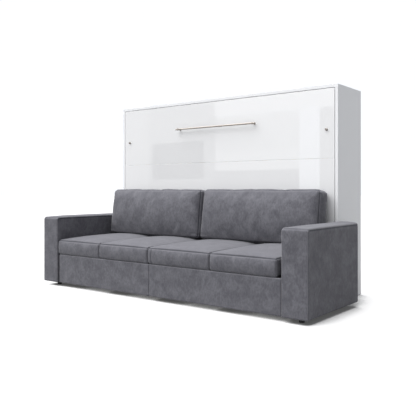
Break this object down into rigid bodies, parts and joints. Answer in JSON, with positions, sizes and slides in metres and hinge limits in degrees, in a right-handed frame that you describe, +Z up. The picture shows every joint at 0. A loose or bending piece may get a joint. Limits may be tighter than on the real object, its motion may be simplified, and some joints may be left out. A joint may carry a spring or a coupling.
{
  "type": "wall bed with sofa",
  "caption": "Shallow wall cabinet whose sideways bed folds down over the sofa fixed before it, with boxy padded arms, crowned seat cushions, loose back cushions, bar handle and turn locks.",
  "frame": {"origin": "on the floor, under the middle of the whole, between the sofa's front and the cabinet's back and between the arms", "axes": "+X along the wall to the right as seen from the front, +Y into the wall, +Z up"},
  "size_m": [2.432, 1.155, 1.52],
  "materials": {
    "front_gloss": "high gloss white lacquer on board",
    "cabinet_laminate": "satin white laminate on board",
    "plain_board": "raw board",
    "frame_steel": "grey powder coat",
    "slat_birch": "clear lacquered birch",
    "black_plastic": "matte black",
    "mattress_cloth": "light grey knitted cover over foam",
    "strap_web": "woven strap",
    "nickel": "satin nickel",
    "zinc": "zinc plated",
    "deck_cloth": "board under a stapled black lining cloth",
    "strut_black": "satin black",
    "strut_chrome": "ground and chromed",
    "stop_rubber": "black rubber",
    "upholstery": "mid grey brushed velour with a soft nap"
  },
  "bodies": {
    "root": {"cabinet_side_left": "cabinet_laminate", "cabinet_side_right": "cabinet_laminate", "cabinet_top": "cabinet_laminate", "cabinet_plinth": "cabinet_laminate", "cabinet_back_rail_bottom": "cabinet_laminate", "cabinet_back_rail_top": "cabinet_laminate", "cabinet_dowels": "plain_board", "cabinet_glides": "black_plastic", "cabinet_screws": "zinc", "wall_plates": "zinc", "pivot_plates": "zinc", "strut_plates": "zinc", "bed_stops": "black_plastic", "stop_pads": "stop_rubber", "arm_cover_left": "upholstery", "arm_cover_right": "upholstery", "arm_frames": "plain_board", "arm_bottoms": "plain_board", "base_cover_left": "upholstery", "base_cover_right": "upholstery", "base_long_boards": "plain_board", "base_cross_boards": "plain_board", "seat_decks": "deck_cloth", "seat_cushion_1": "upholstery", "seat_cushion_2": "upholstery", "seat_cushion_3": "upholstery", "seat_cushion_4": "upholstery", "sofa_feet": "black_plastic", "sofa_brackets": "zinc"},
    "bed": {"front_board_top": "front_gloss", "front_board_middle": "front_gloss", "front_board_bottom": "front_gloss", "bed_rail_lower": "frame_steel", "bed_rail_middle": "frame_steel", "bed_rail_upper": "frame_steel", "bed_rail_side_left": "frame_steel", "bed_rail_side_right": "frame_steel", "bed_pivot_brackets": "frame_steel", "pivot_bushes": "black_plastic", "bracket_screws": "zinc", "bed_slats": "slat_birch", "slat_holders": "black_plastic", "mattress": "mattress_cloth", "mattress_straps": "strap_web", "handle_bar": "nickel", "handle_posts": "nickel", "lock_rosettes": "nickel", "lock_housings": "zinc", "strut_bed_studs": "zinc"},
    "lock_knob_left": {"lock_knob_left": "nickel"},
    "lock_knob_right": {"lock_knob_right": "nickel"},
    "lock_bolt_left": {"lock_bolt_left": "zinc"},
    "lock_bolt_right": {"lock_bolt_right": "zinc"},
    "strut_cylinder_left": {"strut_cylinder_left": "strut_black"},
    "strut_cylinder_right": {"strut_cylinder_right": "strut_black"},
    "strut_rod_left": {"strut_rod_left": "strut_chrome"},
    "strut_rod_right": {"strut_rod_right": "strut_chrome"},
    "back_cushion_left": {"back_cushion_left": "upholstery"},
    "back_cushion_right": {"back_cushion_right": "upholstery"}
  },
  "joints": [
    {"name": "bed_hinge", "type": "hinge", "parent": "root", "child": "bed", "pos_m": [0, 0.2075, 0.449], "axis": [1, 0, 0], "range_deg": [0, 90]},
    {"name": "lock_turn_left", "type": "hinge", "parent": "bed", "child": "lock_knob_left", "pos_m": [-0.969, 0.1775, 1.207], "axis": [0, -1, 0], "range_deg": [0, 90]},
    {"name": "bolt_slide_left", "type": "slide", "parent": "bed", "child": "lock_bolt_left", "axis": [-1, 0, 0], "range_m": [0, 0.01202]},
    {"name": "strut_swing_left", "type": "hinge", "parent": "root", "child": "strut_cylinder_left", "pos_m": [-1.019, 0.3375, 0.709], "axis": [1, 0, 0], "range_deg": [0, 21.7]},
    {"name": "strut_stroke_left", "type": "slide", "parent": "strut_cylinder_left", "child": "strut_rod_left", "axis": [0, 0.2959, 0.9552], "range_m": [0, 0.1715]},
    {"name": "back_cushion_lift_left", "type": "slide", "parent": "root", "child": "back_cushion_left", "axis": [0, -0.9968, 0.0797], "range_m": [0, 1.4]},
    {"name": "lock_turn_right", "type": "hinge", "parent": "bed", "child": "lock_knob_right", "pos_m": [0.969, 0.1775, 1.207], "axis": [0, 1, 0], "range_deg": [0, 90]},
    {"name": "bolt_slide_right", "type": "slide", "parent": "bed", "child": "lock_bolt_right", "axis": [1, 0, 0], "range_m": [0, 0.01202]},
    {"name": "strut_swing_right", "type": "hinge", "parent": "root", "child": "strut_cylinder_right", "pos_m": [1.019, 0.3375, 0.709], "axis": [1, 0, 0], "range_deg": [0, 21.7]},
    {"name": "strut_stroke_right", "type": "slide", "parent": "strut_cylinder_right", "child": "strut_rod_right", "axis": [0, 0.2959, 0.9552], "range_m": [0, 0.1715]},
    {"name": "back_cushion_lift_right", "type": "slide", "parent": "root", "child": "back_cushion_right", "axis": [0, -0.9968, 0.0797], "range_m": [0, 1.4]}
  ],
  "couplings": [
    {"joint": "bolt_slide_left", "follows": "lock_turn_left", "m_per_rad": 0.0076527},
    {"joint": "strut_swing_left", "follows": "bed_hinge", "ratio": 0.24067},
    {"joint": "strut_stroke_left", "follows": "bed_hinge", "m_per_rad": 0.10914},
    {"joint": "back_cushion_lift_left", "follows": "bed_hinge", "m_per_rad": 0.89127},
    {"joint": "bolt_slide_right", "follows": "lock_turn_right", "m_per_rad": 0.0076527},
    {"joint": "strut_swing_right", "follows": "bed_hinge", "ratio": 0.24067},
    {"joint": "strut_stroke_right", "follows": "bed_hinge", "m_per_rad": 0.10914},
    {"joint": "back_cushion_lift_right", "follows": "bed_hinge", "m_per_rad": 0.89127}
  ]
}
